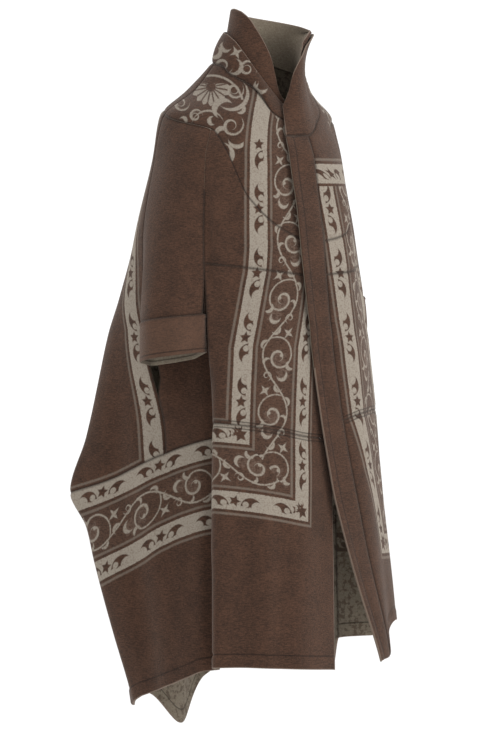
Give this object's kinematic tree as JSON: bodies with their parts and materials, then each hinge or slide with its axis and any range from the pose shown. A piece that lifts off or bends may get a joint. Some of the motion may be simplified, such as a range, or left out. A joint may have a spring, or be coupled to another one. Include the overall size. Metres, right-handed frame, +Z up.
{
  "type": "wool coat",
  "caption": "Oversized blanket wool coat with a tall wrapped collar, lapped front, cape-like sleeves with deep cuffs and a pointed hem, in its worn hollow shape.",
  "frame": {"origin": "base of the neck on the body's vertical axis, where the shoulders carry the coat", "axes": "+Z up; the wearer faces -Y; +X is the wearer's left"},
  "size_m": [0.6266, 0.5053, 1.484],
  "materials": {
    "collar_cloth": "felted, brushed wool",
    "body_cloth": "felted, brushed wool",
    "band_cloth": "felted, brushed wool",
    "sleeve_cloth": "felted, brushed wool",
    "cuff_cloth": "felted, brushed wool"
  },
  "bodies": {
    "root": {"collar_inner": "collar_cloth", "collar_outer_right": "collar_cloth", "collar_outer_left": "collar_cloth", "yoke_right": "body_cloth", "yoke_back": "body_cloth", "yoke_left": "body_cloth", "side_front_right": "body_cloth", "skirt_front_right": "body_cloth", "hem_front_right": "body_cloth", "gusset_right": "body_cloth", "back_upper": "body_cloth", "back_lower": "body_cloth", "side_front_left": "body_cloth", "skirt_front_left": "body_cloth", "hem_front_left": "body_cloth", "gusset_left": "body_cloth", "front_band": "band_cloth", "sleeve_right": "sleeve_cloth", "sleeve_left": "sleeve_cloth", "sleeve_under_right": "sleeve_cloth", "sleeve_under_left": "sleeve_cloth", "cuff_right": "cuff_cloth", "cuff_left": "cuff_cloth"}
  },
  "joints": []
}
